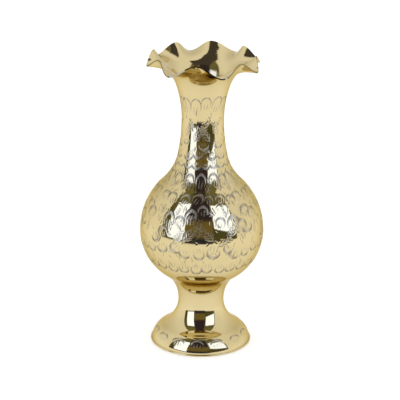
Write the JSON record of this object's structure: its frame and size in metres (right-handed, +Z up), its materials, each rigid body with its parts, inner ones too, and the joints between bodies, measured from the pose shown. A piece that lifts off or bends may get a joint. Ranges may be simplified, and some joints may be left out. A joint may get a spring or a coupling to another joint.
{
  "type": "brass flower vase",
  "caption": "Footed brass vase with a round belly, slender neck and ruffled mouth; spun sheet shells brazed together.",
  "frame": {"origin": "centre of the foot ring's underside, on the vase's axis", "axes": "+Z up along the axis to the mouth, -Y towards the front as pictured, +X to the viewer's right"},
  "size_m": [0.083, 0.083, 0.201],
  "materials": {
    "engraved_brass": "polished, with bright-cut engraving",
    "plain_brass": "polished",
    "braze_filler": "filed flush outside, raw inside"
  },
  "bodies": {
    "root": {"mouth_neck": "engraved_brass", "shoulder_shell": "engraved_brass", "bowl_shell": "engraved_brass", "foot_shell": "engraved_brass", "foot_ring": "plain_brass", "neck_braze": "braze_filler", "belly_braze": "braze_filler", "foot_braze": "braze_filler", "ring_braze": "braze_filler"}
  },
  "joints": []
}
